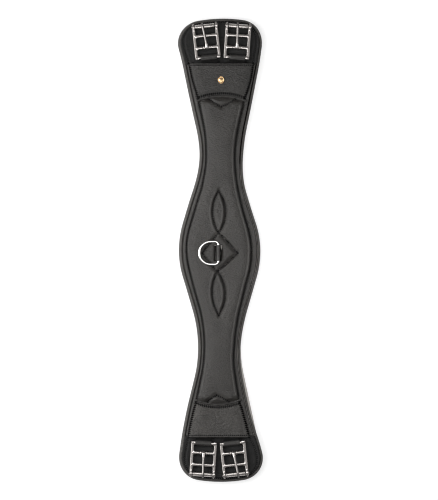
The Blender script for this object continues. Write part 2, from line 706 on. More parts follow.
def lifted(x, y):
    """How far the stuffing lifts the hide at (x, y), read from the simulated grid."""
    g = puff["lift"]
    if g is None:
        return 0.0
    row = np.clip((y - PUFF_Y[0]) / (PUFF_Y[1] - PUFF_Y[0]), 0, len(PUFF_Y) - 1.001)
    share = x / np.maximum(half_width(np.clip(y, PUFF_Y[0], PUFF_Y[-1]), PUFF_INSET), 1)
    column = np.clip((share + 1) / 2 * (len(PUFF_SHARE) - 1), 0, len(PUFF_SHARE) - 1.001)
    i, j = row.astype(int), column.astype(int)
    a, b = row - i, column - j
    near = g[i, j] * (1 - a) * (1 - b) + g[i + 1, j] * a * (1 - b)
    inner = near + g[i, j + 1] * (1 - a) * b + g[i + 1, j + 1] * a * b
    return inner * (np.abs(share) < 1) * (np.abs(y) < PUFF_Y[-1])


def face_relief(x, y):
    """Top of the face panel over the regular plan, and how dark its seams are."""
    inset = inset_of(x, y)
    rise = inset - SEAM_INSET
    px, py = laid(x, y)
    # Both borders lean to the left, as the hide was drawn over that way: their crests aren't at their middles.
    crest = 7.6 - 1.5 * np.tanh(x / 6)
    fall = ((inset - crest) / (SEAM_INSET - crest + 0.2)) ** 2 * np.where(inset > crest, 1.0, 0.5)
    cut_edge = 1 - shoulder((inset - PANEL_INSET + 0.05) / 0.9)
    border = BORDER_TOP - 0.95 * fall - np.where(x > 0, 0.7, 1.3) * cut_edge
    # The pillow rises from the side seams, and falls towards the end patches.
    to_arc = -past_arc(x, y)
    width = 3.4 + 2.2 * soft_step((np.abs(y) - 165) / 40) + 0.3 * waves(px, py, 60, 3, 2)
    width = width * (1.25 - 0.5 * soft_step(x / 8 + 0.5))
    form = 0.72 * shoulder(rise / width) + 0.28 * soft_step(rise / 13)
    fade = soft_step((to_arc - 1.2) / 9.0)
    lift = PILLOW_RISE * (0.3 + 0.7 * fade) * soft_step((to_arc + 3.0) / 2.0)
    crown = 0.35 * soft_step((inset - 16) / 16)
    pillow = VALLEY_LEVEL + (lift + crown * fade) * form + 0.16 * waves(px, py, 34, 5) * form
    z = np.where(rise < 0, border, pillow)
    valley = np.abs(rise)
    teeth = np.cos(2 * math.pi * y / STITCH_PITCH + np.sign(x) * rise * 0.9)
    z -= 0.34 * teeth * np.exp(-valley / 1.7) * (valley > 0.3) * np.where(rise > 0, 1.0, 0.6)
    shade = stitched(valley, y + np.sign(x) * rise, np.where(x > 0, 1.15, 1.35))
    shade = np.maximum(shade, soft_step((PANEL_INSET + 0.9 - inset) / 0.6) * (x > 0))
    # Stitched seams draw the pillow down, and pucker it at each stitch.
    deepest = np.zeros_like(z)
    for seam, depth, left, right in face_seams + dart_seams:
        dist, along = nearest(seam, px, py)
        off = np.abs(dist)
        reach = np.where(dist > 0, left, right)
        dip = depth * np.clip(1 - off / (2.2 * reach), 0, 1) ** 1.25 + 0.4 * bell(off / 0.8)
        dip += 0.2 * np.exp(-off / reach) * np.cos(2 * math.pi * along / STITCH_PITCH) * (off > 0.3)
        deepest = np.maximum(deepest, dip * soft_step((to_arc - 0.5) / 3))
        shade = np.maximum(shade, stitched(off, along))
    # The turned hide stands up in a small ridge along the left of each long seam.
    ridge = 1.25 * bell((rise - 3.0) / 1.2) * soft_step(x / 5)
    for seam, *_ in face_seams[:4]:
        dist, _ = nearest(seam, px, py)
        ridge = np.maximum(ridge, 0.9 * bell((dist - 3.2) / 1.3) * soft_step((90 - np.abs(py)) / 20))
    z = z - deepest + (ridge * fade + lifted(x, y))
    # Inside the diamond the hide slopes up like a roof, except under the ring's tab.
    inside = 24.5 - np.abs(px + 0.5) - np.abs(py + 4) * 0.92
    roof = 2.4 * np.clip(inside / 17, 0, 1) - 0.7 * soft_step(inside / 3)
    z += roof * soft_step((np.abs(px - RING_X) - 5) / 5)
    # The ring tab's two slots.
    for side in (-1, 1):
        across = np.abs(px - RING_X + 0.4 - side * 3.7)
        ends = np.abs(py - RING_Y) - 10.8
        cut = soft_step((1.8 - across) / 0.7) * soft_step((1.0 - ends) / 1.0)
        z -= 4.8 * cut
        shade = np.maximum(shade, cut)
    return z, shade


def puff_up():
    """Blow the pillow's hide up as cloth that is held along its seams, and keep how far each point rises."""
    grid_y, share = np.meshgrid(PUFF_Y, PUFF_SHARE, indexing="ij")
    x = half_width(grid_y, PUFF_INSET) * share
    px, py = laid(x, grid_y)
    points = np.stack([px, py, face_relief(x, grid_y)[0]], -1).reshape(-1, 3) * MM
    mesh = bpy.data.meshes.new("puff")
    mesh.from_pydata(points.tolist(), [], grid_faces(*x.shape).tolist())
    if mesh.polygons[0].normal.z < 0:
        mesh.flip_normals()
    hide = bpy.data.objects.new("puff", mesh)
    scene.collection.objects.link(hide)
    held = (np.abs(share) > 0.96) | (np.abs(grid_y) > PUFF_Y[-1] - 5)
    held |= (np.abs(px - RING_X) < 6.5) & (np.abs(py - RING_Y) < 13)
    for seam, *_ in face_seams + dart_seams:
        held |= np.abs(nearest(seam, px, py)[0]) < 2.2
    pins = hide.vertex_groups.new(name="held")
    pins.add(np.flatnonzero(held.ravel()).tolist(), 1.0, "REPLACE")
    cloth = hide.modifiers.new("cloth", "CLOTH").settings
    cloth.vertex_group_mass = "held"
    cloth.quality = 6
    cloth.mass = 0.15
    cloth.tension_stiffness = cloth.compression_stiffness = 30
    cloth.bending_stiffness = 0.5
    cloth.use_pressure = True
    cloth.uniform_pressure_force = 4.0
    cloth.effector_weights.gravity = 0
    for step in range(1, 21):
        scene.frame_set(step)
    shape = hide.evaluated_get(bpy.context.evaluated_depsgraph_get()).to_mesh()
    after = np.empty(points.size)
    shape.vertices.foreach_get("co", after)
    rise = (after.reshape(-1, 3)[:, 2] - points[:, 2]).reshape(x.shape) / MM
    bpy.data.objects.remove(hide, do_unlink=True)
    bpy.data.meshes.remove(mesh)
    scene.frame_set(1)
    puff["lift"] = PUFF_CAP * np.tanh(np.maximum(rise, 0) / PUFF_CAP)


puff_up()


def seam_inset(y):
    """The guard's stitch line draws in towards the edge round the end."""
    y = np.abs(y)
    return SEAM_INSET - 2.2 * soft_step((y - 262) / 24) - 3.3 * soft_step((y - 290) / 34)


def guard_relief(x, y):
    """Top of the leather behind the buckles, and how dark its seam is."""
    inset = inset_of(x, y)
    z = GUARD_LEVEL + 0.22 * waves(x, y, 26, 11) - 1.2 * (1 - shoulder((inset - GUARD_INSET + 0.05) / 0.9))
    past = inset - seam_inset(y)
    off = np.abs(past)
    z += 0.25 * bell((past - 3.2) / 1.6) - 0.85 * np.exp(-off / 1.1)
    return z, stitched(off, y + x * 0.6, 0.7)


def patch_relief(x, y):
    """Top of the leather cover over the straps' ends, and how dark its seams are."""
    seed = PATCH_SEEDS[1 if np.ravel(y)[0] > 0 else -1]
    inset = inset_of(x, y)
    side = inset - SEAM_INSET
    arc = past_arc(x, y)
    seam = np.abs(arc - PATCH_SEAM)
    mouth = PATCH_MOUTH - np.abs(y)
    wide = 5.0 + 1.0 * waves(x, y, 40, seed + 1, 2)
    sides = 0.6 * shoulder(side / wide) + 0.4 * soft_step(side / 12)
    back = 0.35 + 0.65 * (0.7 * shoulder((arc - PATCH_SEAM) / 7.0) + 0.3 * soft_step((arc - PATCH_SEAM) / 12.0))
    z = PATCH_LEVEL + PATCH_RISE * sides * back
    z -= 0.9 * np.exp(-np.abs(side) / 0.9) + 0.35 * (1 - shoulder((inset - PATCH_INSET) / 0.8))
    z -= 0.8 * np.exp(-seam / 0.8)
    # The straps' ends lift the cover a little, and the mouth's turned edge is stitched flat.
    for strap in (-13.0, 21.0):
        z += 0.32 * bell((x - strap * np.sign(y)) / 8.5) * soft_step(arc / 14)
    z += 1.15 * bell((mouth - 1.1) / 0.75) - 0.35 * bell((mouth - MOUTH_SEAM) / 0.55)
    z -= 0.9 * (1 - shoulder(mouth / 0.8))
    fine = 0.14 * waves(x, y, 22, seed) + 0.1 * waves(x * 0.7 + y * 0.7, y * 0.5 - x * 0.5, 8, seed + 5)
    z += fine * soft_step(side / 6)
    across = np.maximum(stitched(seam, x, 1.1), stitched(np.abs(mouth - 2.9), x, 0.5)) * (side > 0)
    return z, np.maximum(stitched(np.abs(side), y, 1.4), across)


# ---------------- stitches


def stitches(name, runs, length=2.2, slant=9.0, radius=0.42):
    """Thread stitches along paths of points in mm, each a small arched capsule."""
    along_one = np.array([-0.5, -0.42, -0.2, 0.2, 0.42, 0.5]) * length
    arch = np.array([-0.55, -0.1, 0.16, 0.16, -0.1, -0.55])
    thick = radius * np.array([0.35, 0.85, 1.0, 1.0, 0.85, 0.35])[:, None]
    sides = 6
    angle = round_angles(sides)
    per = len(arch) * sides
    one = np.array(tube_faces(len(arch), sides, False)[:-2])
    caps = np.array(tube_faces(len(arch), sides, False)[-2:])
    turn = math.radians(slant)
    points, faces, count = [], [], 0
    for path in runs:
        along = np.r_[0, np.cumsum(np.linalg.norm(np.diff(path, axis=0), axis=1))]
        number = max(1, int(along[-1] / STITCH_PITCH))
        at = (np.arange(number) + 0.5) * along[-1] / number
        centre, ahead, behind = (
            np.stack([np.interp(at + shift, along, column) for column in path.T], -1)
            for shift in (0, 0.6, -0.6)
        )
        tangent = unit(ahead - behind)
        side = unit(np.cross([0, 0, 1.0], tangent))
        tangent, side = (
            tangent * math.cos(turn) + side * math.sin(turn),
            side * math.cos(turn) - tangent * math.sin(turn),
        )
        up = np.cross(tangent, side)
        spine = centre[:, None] + tangent[:, None] * along_one[:, None] + up[:, None] * arch[:, None]
        ring = (
            spine[:, :, None]
            + side[:, None, None] * (thick * np.cos(angle))[..., None]
            + up[:, None, None] * (thick * np.sin(angle))[..., None]
        )
        points.append(ring.reshape(-1, 3))
        for start in range(count, count + number * per, per):
            faces += (one + start).tolist() + (caps + start).tolist()
        count += number * per
    return mesh_piece(name, np.concatenate(points), faces, black_thread, "girth")


def on_surface(x, y, relief, lift=0.12):
    """A path of plan points, raised to a surface and laid as the girth lies."""
    return np.c_[(*laid(x, y), relief(x, y)[0] + lift)]


# ---------------- lining and its rolled rim


def build_lining():
    profile = [
        (28.0, 0.0), (20.0, 0.0), (12.0, 0.0), (7.0, 0.0), (4.8, 0.05), (3.2, 0.35), (1.9, 1.0), (0.9, 2.0),
        (0.3, 3.2), (0.02, 4.6), (0.05, 6.0), (0.35, 7.3), (0.85, 8.4), (1.5, 9.1), (2.3, 9.45), (3.0, 9.35),
        (3.6, 8.8), (4.0, 7.9), (4.5, 7.4), (5.6, 7.3), (10.0, 7.3), (10.0, 6.6), (5.2, 6.5), (3.2, 6.1),
        (2.2, 4.8), (2.6, 3.0), (4.2, 1.5), (12.0, 1.2), (28.0, 1.2),
    ]  # fmt: skip
    outer = outline(0.0)
    s = np.r_[0, np.cumsum(np.linalg.norm(np.diff(outer, axis=0), axis=1))]
    rings, shade = [], []
    for inset, z in profile:
        p = outline(inset)
        # The hide gathers a little where it is rolled, most of all round the ends.
        gather = 0.015 + 0.16 * soft_step((np.abs(p[:, 1]) - 285) / 25)
        ripple = gather * (np.sin(s * 1.35 + 2 * np.sin(s * 0.13)) + 0.6 * np.sin(s * 2.1 + 1.3))
        show = bell((inset - 2.2) / 2.2) * (4.0 < z)
        # On the left the groove beside the panel is filled, and the roll leans over to that side.
        filled = 1.5 * soft_step((inset - 3.2) / 0.6) * (inset < 4.6) * (z > 7) * soft_step(0.5 - p[:, 0] / 6)
        leaning = 0.4 * np.tanh(p[:, 0] / 6) * (2.3 - inset) / 1.5
        height = z + filled + (ripple + leaning) * show + 0.25 * waves(*p.T, 55, 21, 2) * show
        x, y = laid(*p.T, on_face=False)
        rings.append(np.c_[x, y, height])
        edge = soft_step((0.9 - inset) / 0.7) * 0.75 * (3.0 < z < 8.0)
        gap = soft_step((inset - 3.4) / 0.7) * (z > 7)
        shade.append(np.maximum(edge, gap * np.where(x > 0, 1.0, 0.1)))
    count = len(rings[0])
    points = np.concatenate(rings)
    faces = grid_faces(len(profile), count, around=True).tolist()
    last = (len(profile) - 1) * count
    # Both inner edges close with strips from the right side to the left.
    half = count // 2
    for base, turned in ((0, False), (last, True)):
        for k in range(-half // 2, half // 2):
            quad = list(dict.fromkeys(base + i % count for i in (k, k + 1, half - k - 1, half - k)))
            faces.append(quad[::-1] if turned else quad)
    return mesh_piece(
        "lining", points, faces, rim_leather, "girth", "lining_leather", ["lining_leather"],
        seam=np.concatenate(shade),
    )  # fmt: skip


# ---------------- face panel


def face_columns(y, depths, middle):
    """Plan points of a grid over y: columns at fixed insets along both sides, and even ones between."""
    sides = half_width(y[:, None], depths)
    inner = sides[:, -1:] * np.linspace(-1, 1, middle + 2)[1:-1]
    x = np.concatenate([-sides, inner, sides[:, ::-1]], axis=1)
    return x, np.broadcast_to(y[:, None], x.shape)


def build_face_panel():
    depths = np.r_[4.62, 4.75, 5.0, 5.4, 6.0, 6.8, 7.6, 8.4, 9.2, 9.8, 10.3, 10.7, np.arange(11.2, 20.1, 0.68)]
    fine = np.arange(-200, 200, 0.8)
    y = np.r_[np.arange(-PANEL_END, -200, 1.0), fine, np.arange(200, PANEL_END + 0.01, 1.0)]
    x, y = face_columns(y, depths, 46)
    z, shade = face_relief(x, y)
    inset = inset_of(x, y)
    low = np.where(inset < PANEL_INSET + 0.6, CUT_EDGE_FOOT, np.minimum(z - 1.4, 9.5))
    low = np.where(inset > SEAM_INSET + 1.5, np.maximum(z - 1.5, 9.35), low)
    return *sheet_over(*laid(x, y), z, np.minimum(low, z - 0.15)), np.tile(shade.ravel(), 2)


def build_padding():
    """The foam under the pillow follows its underside."""
    x, y = face_columns(np.arange(-204, 204.1, 2.0), np.arange(13.0, 19.1, 1.5), 24)
    z = np.maximum(face_relief(x, y)[0] - 1.75, 9.9)
    return sheet_over(*laid(x, y), z, np.full_like(z, 9.45))


# ---------------- guards and patches


def build_guard(sign):
    """A grid between the panel's end line and the rounded end: the sides' insets stay the same all round."""
    start = PANEL_END + 0.35
    ring = outline(GUARD_INSET, 0.8)
    ring = ring[ring[:, 1] > start]
    ring = ring[np.argsort(-np.arctan2(ring[:, 1] - start, ring[:, 0]))]
    corner = 0.78  # where the grid's upper corners sit, as a share of the way round each corner
    angle = -END_FLANK + (end_angle + END_FLANK) * corner
    c = CORNER_RADIUS - GUARD_INSET
    tip = np.array([CORNER_X + c * math.cos(angle), corner_y + c * math.sin(angle)])
    rows, cols = 96, 150
    length = np.r_[0, np.cumsum(np.linalg.norm(np.diff(ring, axis=0), axis=1))]

    def pick(a, b, n):
        s = np.linspace(a, b, n)
        return np.stack([np.interp(s, length, ring[:, k]) for k in range(2)], -1)

    left_tip, right_tip = (length[np.argmin(np.linalg.norm(ring - tip * (k, 1), axis=1))] for k in (-1, 1))
    left = pick(0, left_tip, rows)
    right = pick(length[-1], right_tip, rows)
    top = pick(left_tip, right_tip, cols)
    edge = float(half_width(start, GUARD_INSET))
    left[0], right[0] = (-edge, start), (edge, start)
    bottom = np.c_[np.linspace(-edge, edge, cols), np.full(cols, start)]
    u = np.linspace(0, 1, cols)[None, :, None]
    v = np.linspace(0, 1, rows)[:, None, None]
    grid = (
        (1 - v) * bottom[None]
        + v * top[None]
        + (1 - u) * left[:, None]
        + u * right[:, None]
        - (1 - u) * (1 - v) * bottom[0]
        - u * (1 - v) * bottom[-1]
        - (1 - u) * v * top[0]
        - u * v * top[-1]
    )
    x, y = grid[..., 0] * sign, grid[..., 1] * sign
    z, shade = guard_relief(x, y)
    low = np.where(inset_of(x, y) < GUARD_INSET + 0.8, CUT_EDGE_FOOT, z - 1.3)
    return *sheet_over(*laid(x, y), z, np.minimum(low, z - 0.12)), np.tile(shade.ravel(), 2)


def build_patch(sign):
    """A grid from the patch's curved edge to its mouth, with extra rows at the mouth's turned edge."""
    rows, cols = 110, 150
    t = np.sort(np.r_[np.linspace(0, 1, rows), 1 - np.array([0.0012, 0.003, 0.006, 0.012])])
    u = crowded(cols, 1.2)
    y = np.full((len(t), cols), 240.0)
    # x depends on y through the width, and y on x through the curved edge: a few rounds settle both.
    for _ in range(8):
        x = half_width(y, PATCH_INSET + 0.05) * u
        start = PATCH_ARC - arc_radius + np.sqrt(arc_radius**2 - np.clip(x, -arc_half, arc_half) ** 2)
        y = start + t[:, None] * (PATCH_MOUTH - start)
    x, y = x * sign, y * sign
    z, shade = patch_relief(x, y)
    thin = 1.35 * soft_step((PATCH_MOUTH - np.abs(y)) / 0.7 + 0.35)
    low = np.maximum(z - np.maximum(thin, 0.3), 10.9)
    return *sheet_over(*laid(x, y), z, np.minimum(low, z - 0.1)), np.tile(shade.ravel(), 2)


def build_piping(sign):
    reach = arc_half - 0.2
    x = np.linspace(-reach, reach, 120)
    y = PATCH_ARC - arc_radius + np.sqrt((arc_radius - PIPING_RADIUS - 0.25) ** 2 - x**2)
    z = 13.0 - 0.5 * (np.abs(x) / reach) ** 4 + 0.06 * np.sin(x * sign * 1.7 + sign)
    return swept(np.c_[(*laid(x * sign, y * sign), z)], PIPING_RADIUS, 16)


# ---------------- straps, buckles and tongues


def seat_turn(vectors, end, seat):
    """A buckle's own directions in the row frame."""
    turn = math.radians(SEATS[seat][1] + (180 if end == "bottom" else 0))
    c, s = math.cos(turn), math.sin(turn)
    return np.asarray(vectors) @ np.array([[c, s, 0], [-s, c, 0], [0, 0, 1]])


def seat_points(points, end, seat):
    """From a buckle's own frame (across, towards the roller, up) to the row frame."""
    x, lean, _ = SEATS[seat]
    turn = math.radians(lean)
    p = np.asarray(points, float)
    out = np.empty_like(p)
    out[..., 0] = x + p[..., 0] * math.cos(turn) - p[..., 1] * math.sin(turn)
    out[..., 1] = BASE_BAR_Y + p[..., 0] * math.sin(turn) + p[..., 1] * math.cos(turn)
    out[..., 2] = BAR_HEIGHT + p[..., 2]
    if end == "bottom":
        out[..., :2] *= -1
    return out


def build_chape(seed):
    """The leather folded round the base bar: its middle line, then both faces of the leather."""
    loop, half_thick, top_level, tail, cols = 2.75, 0.55, 0.45, -20, 40
    last = math.pi / 2 + 0.75
    angle = np.linspace(-math.pi / 2, last, 30)
    fall = np.linspace(0, 1, 26)[1:]
    v_after = loop * math.cos(last) + (tail - loop * math.cos(last)) * fall
    z_after = top_level + (loop * math.sin(last) - top_level) * (1 - soft_step(fall * 6.5))
    v = np.r_[np.linspace(tail, -1, 12), loop * np.cos(angle), v_after]
    z = np.r_[np.full(12, -loop), loop * np.sin(angle), z_after]
    line = np.c_[v, z]
    u = crowded(cols, 1.35)
    s = np.r_[0, np.cumsum(np.linalg.norm(np.diff(line, axis=0), axis=1))]
    bump = 0.16 * waves(s[:, None], u[None] * CHAPE_HALF_WIDTH * 0.7, 9, seed)
    # The leather creases where it comes off the bar.
    crease = bell((v[:, None] + 6.6) / 0.9) * (z[:, None] > 0)
    bump = bump + crease * (0.5 + 0.35 * np.sin(u[None] * 4 + seed))
    sides = both_faces(line, half_thick * (1 - np.abs(u) ** 14 * 0.55), bump * 0.5)
    across = np.broadcast_to(CHAPE_OFFSET + CHAPE_HALF_WIDTH * u, sides[0].shape[:2])
    shade = np.tile((0.9 * soft_step((-2.3 - v) / 1.6) * (z > 0))[:, None], (1, cols))
    sheet = closed_sheet(*(np.stack([across, side[..., 0], side[..., 1]], -1) for side in sides))
    return *sheet, np.tile(shade.ravel(), 2)


def frame_field(p):
    """Two rails and three bars, rounded through the thickness and in the windows' corners, with cast lumps."""
    u, v, z = np.abs(p[..., 0]), p[..., 1], p[..., 2]
    across = np.abs(u - RAIL_INNER - RAIL_WIDTH / 2) - RAIL_WIDTH / 2 + 1
    along = np.abs(v - (ROLLER_BAR - 2.7) / 2) - (ROLLER_BAR + 2.1) / 2 + 1
    plan = np.hypot(np.maximum(across, 0), np.maximum(along, 0)) + np.minimum(np.maximum(across, along), 0) - 1
    for at, r in ((0, 1.65), (TONGUE_BAR, 1.75), (CENTRE_BAR, 1.7)):
        bar = np.hypot(np.maximum(u - 13.3, 0), v - at) - r
        plan = blended(plan, bar, 3.4)
    half, rounding = 1.72, 1.3
    q = np.maximum(plan + rounding, 0), np.maximum(np.abs(z) - half + rounding, 0)
    whole = np.hypot(*q) + np.minimum(np.maximum(plan + rounding, np.abs(z) - half + rounding), 0) - rounding
    mirrored = np.stack([u, v, z], -1)
    # The bars are rounder than the rails and stand a little over them, but not where the tongue's eye turns.
    bars = ((0, CENTRE_BAR, 0.15, 2.15), (7.4, TONGUE_BAR, 0.1, 2.05), (12.5, 0, 0.1, 1.95))
    for start, at, height, r in bars:
        whole = blended(whole, field_bar(mirrored, (start, at, height), (14.5, at, 0.1), r), 0.9)
    ear = field_disc(mirrored, (RAIL_INNER + RAIL_WIDTH / 2, ROLLER_BAR, 0), 3.15, 2.15, 1.0)
    whole = blended(whole, ear, 0.7)
    for at, r, k in ((ROLLER_BAR + 3.0, 1.85, 0.5), (ROLLER_BAR - 4.1, 2.15, 0.6), (-0.6, 2.15, 0.5)):
        whole = blended(whole, field_bar(mirrored, (16.3, at, -0.3), (16.3, at, 0.2), r), k)
    whole = blended(whole, field_disc(mirrored, (4.15, TONGUE_BAR, 0), 2.95, 1.0, 0.6), 0.4)
    bore = np.hypot(v - ROLLER_BAR, z) - PIN_BORE
    return np.maximum(whole, -bore)


def tongue_path(yaw):
    slope = math.tan(math.radians(yaw))
    spots = [
        (TONGUE_BAR + 0.8, 2.2), (TONGUE_BAR + 4, 3.3), (CENTRE_BAR - 7, 4.1), (CENTRE_BAR, 4.35),
        (ROLLER_BAR - 5, 4.95), (ROLLER_BAR - 0.5, 4.95), (ROLLER_BAR + 2.2, 4.35), (ROLLER_BAR + 3.6, 3.1),
    ]  # fmt: skip
    return [(-slope * (v - TONGUE_BAR), v, z) for v, z in spots]


def tongue_field(p, yaw):
    hub = field_disc(p, (0, TONGUE_BAR, 0), 3.5, 2.5, 1.2)
    path = np.array(tongue_path(yaw))
    radii = np.array([2.4, 2.0, 1.75, 1.75, 1.78, 1.78, 1.65, 1.35])
    at = np.linspace(path[0, 1], path[-1, 1], 26)
    height = smooth_curve(list(zip(path[:, 1], path[:, 2])), 1.6)
    fine = np.c_[np.interp(at, path[:, 1], path[:, 0]), at, height(at)]
    thick = np.interp(at, path[:, 1], radii)
    shaft = np.full(p.shape[:-1], 1e3)
    for k in range(len(at) - 1):
        shaft = np.minimum(shaft, field_bar(p, fine[k], fine[k + 1], thick[k], thick[k + 1]))
    whole = blended(hub, shaft, 1.3)
    bore = np.hypot(p[..., 1] - TONGUE_BAR, p[..., 2]) - EYE_BORE
    return np.maximum(whole, -bore)


def build_roller():
    half, r, bore = RAIL_INNER - 0.45, 3.0, 1.6
    end = [(r, half - 0.5), (r - 0.12, half - 0.15), (r - 0.45, half), (bore, half)]
    points, faces = lathe([(radius, -at) for radius, at in end[::-1]] + end, 48, closed=True)
    return points + (0, ROLLER_BAR, 0), faces


def build_pin():
    face = RAIL_INNER + RAIL_WIDTH + 0.1
    end = [(1.3, face - 0.1), (1.7, face - 0.05), (1.5, face + 0.2), (1.0, face + 0.45), (0.4, face + 0.55)]
    points, faces = lathe([(radius, -at) for radius, at in end[::-1]] + end, 24)
    return points + (0, ROLLER_BAR, 0), faces


def build_elastic():
    """A ribbed band whose edges are thinner."""
    v, u = np.meshgrid(np.linspace(-47, -8, 60), np.linspace(-10.6, 10.6, 44) + CHAPE_OFFSET, indexing="ij")
    rib = 0.07 * np.cos(u * 4.2)
    edge = 0.35 * (np.abs(u - CHAPE_OFFSET) > 10.2)
    return sheet_over(u, v, -0.45 + rib - edge, -1.85 - rib + edge)


# ---------------- D-ring, its tab, and the badge


def build_ring():
    bar, corner, arc_x, big = 11.1, 5.0, -11.0, 16.1
    up = [(0.0, y) for y in np.linspace(-bar, bar, 30)]
    a = np.linspace(0, math.pi / 2, 12)[1:]
    first = [(-corner + corner * math.cos(t), bar + corner * math.sin(t)) for t in a]
    top = [(x, big) for x in np.linspace(-corner, arc_x, 8)[1:]]
    b = np.linspace(math.pi / 2, 3 * math.pi / 2, 60)[1:-1]
    bow = [(arc_x + big * math.cos(t), big * math.sin(t)) for t in b]
    low = [(x, -y) for x, y in (first + top)[::-1]]
    path = np.array([(x + RING_X, y + RING_Y, RING_Z) for x, y in up + first + top + bow + low])
    keep = np.r_[True, np.linalg.norm(np.diff(path, axis=0), axis=1) > 0.05]
    return swept(path[keep], 1.75, 20, closed=True)


def build_tab():
    """The strap over the ring's bar, with both legs going down through the face panel."""
    inner, thick, foot, half_length = 1.85, 0.85, -8.6, 11.4
    mid = inner + thick / 2
    angle = np.linspace(0, math.pi, 25)
    leg = np.linspace(foot, -0.6, 9)
    pinch = mid * (1 - 0.45 * soft_step((-0.6 - leg) / 3.5))
    x = np.r_[pinch, mid * np.cos(angle), -pinch[::-1]]
    z = np.r_[leg, mid * np.sin(angle), leg[::-1]]
    u = crowded(34, 1.35)
    sides = both_faces(np.c_[x, z], thick / 2 * (1 - 0.5 * np.abs(u) ** 16))
    along = np.broadcast_to(u * half_length, sides[0].shape[:2])
    place = np.array([RING_X - 0.1, RING_Y, RING_Z])
    return closed_sheet(*(np.stack([side[..., 0], along, side[..., 1]], -1) + place for side in sides))


def build_badge():
    """A plain oval stud: a beaded rim round a smooth dome."""
    profile = [(4.4, 0.0), (4.6, 0.3), (4.6, 0.7), (4.35, 1.0), (3.95, 1.1), (3.6, 0.95), (3.4, 0.8)]
    profile += [(3.2, 0.95), (2.8, 1.35), (2.2, 1.7), (1.4, 1.95), (0.6, 2.06), (0.1, 2.08)]
    points, faces = lathe(profile, 56, axis="z")
    oval = 1.12  # length over width
    points[:, 1] *= oval
    ball = [(0.02, -0.34), (0.24, -0.24), (0.34, 0.0), (0.24, 0.24), (0.02, 0.34)]
    bead, bead_faces = lathe(ball, 8, axis="z")
    spots = [(4.2 * math.cos(a), 4.2 * oval * math.sin(a), 0.95) for a in round_angles(28)]
    return merge([(points, faces)] + [(bead + spot, bead_faces) for spot in spots])


# ---------------- assembly

build_lining()
points, faces, shade = build_face_panel()
cover = mesh_piece(
    "face_panel_cover", points, faces, panel_leather, "girth", "panel_leather", ["face_panel"], seam=shade
)
padding = mesh_piece("face_padding_foam", *build_padding(), core_foam, "girth", "foam", ["face_padding"])

for end, sign, hide in (("top", 1, patch_leather), ("bottom", -1, worn_leather)):
    points, faces, shade = build_guard(sign)
    nodes = [f"end_guard_{end}"]
    mesh_piece(f"guard_{end}", points, faces, guard_leather, "girth", "guard_leather", nodes, seam=shade)
    points, faces, shade = build_patch(sign)
    nodes = [f"end_patch_{end}"]
    patch = mesh_piece(f"patch_{end}", points, faces, hide, "girth", "panel_leather", nodes, seam=shade)
    nodes = [f"patch_piping_{end}"]
    mesh_piece(f"piping_{end}", *build_piping(sign), patch_leather, "girth", "piping_leather", nodes)

mesh_piece("ring_tab_strap", *build_tab(), chape_leather, "girth", "panel_leather", ["ring_tab"])
mesh_piece("d_ring_wire", *build_ring(), ring_steel, "ring", "steel", ["d_ring"])
points, faces = build_badge()
badge_y = 242.0
badge_z = float(patch_relief(np.array(0.0), np.array(badge_y))[0]) - 0.1
points = points + (lie_shift(badge_y), badge_y, badge_z)
mesh_piece("badge_oval", points, faces, gold, "girth", "gold", ["badge_stud"])


def dull_flanks(points, normals):
    """1 on the flanks of the rails and shafts, 0 on the faces that the straps rub."""
    flank = soft_step((np.abs(normals[:, 0]) - 0.22) / 0.3)
    flank *= soft_step((np.hypot(points[:, 0], points[:, 1] - TONGUE_BAR) - 3.5) / 3)
    return np.maximum(flank, soft_step((0.3 - normals[:, 2]) / 0.3) * 0.6)


def seated(end, seat, piece, points, faces, material, body, slot, node, normals=None, seam=None):
    """A piece of one buckle, from points and directions in the buckle's own frame."""
    name = f"{end}_{seat}"
    if normals is not None:
        normals = seat_turn(normals, end, seat)
    body = body and f"{body}_{name}"
    points = seat_points(points, end, seat)
    return mesh_piece(f"{piece}_{name}", points, faces, material, body, slot, [f"{node}_{name}"], normals, seam)


frame_points, frame_faces, frame_normals = field_mesh(frame_field, (-20, -5, -4.2), (20, 53, 4.2), 0.42)
roller_points, roller_faces = build_roller()
pin_points, pin_faces = build_pin()
elastic_points, elastic_faces = build_elastic()
tongue_shapes = {
    seat: field_mesh(lambda p, yaw=yaw: tongue_field(p, yaw), (-7, 9.5, -4.2), (5, 52, 7.5), 0.4)
    for seat, (_, _, yaw) in SEATS.items()
}
for end, first_seed in (("top", 2), ("bottom", 5)):
    for number, seat in enumerate(SEATS):
        points, faces, shade = build_chape(number + first_seed)
        seated(
            end, seat, "chape_strap", points, faces, chape_leather, "strap", "guard_leather", "chape",
            seam=shade,
        )  # fmt: skip
        ribbon = seated(
            end, seat, "elastic_ribbon", elastic_points, elastic_faces, elastic_weave, None, "elastic",
            "elastic",
        )  # fmt: skip
        # The elastic is sewn down at its inner end, and moves with the strap from the chape's tail on.
        ends = np.array([[CHAPE_OFFSET, -47, -1.1], [CHAPE_OFFSET, -18, -1.1]])
        start, stop = seat_points(ends, end, seat) * MM
        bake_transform(ribbon)
        shade = dull_flanks(frame_points, frame_normals)
        seated(
            end, seat, "buckle", frame_points, frame_faces, steel, "buckle", "steel", "buckle_frame",
            frame_normals, shade,
        )  # fmt: skip
        seated(end, seat, "pin", pin_points, pin_faces, steel, "buckle", "steel", "roller_pin")
        seated(end, seat, "roller_sleeve", roller_points, roller_faces, steel, "roller", "steel", "roller")
        points, faces, normals = tongue_shapes[seat]
        shade = dull_flanks(points, normals)
        seated(end, seat, "prong", points, faces, steel, "tongue", "steel", "tongue", normals, shade)

# Thread. Both side seams run the whole way, over the panel and then round each guard.


def plan_of(px, py, on_face=True):
    """The regular plan's point that comes to lie at (px, py)."""
    x = np.array(px, float)
    for _ in range(6):
        x = x - (laid(x, py, on_face)[0] - px)
    return x


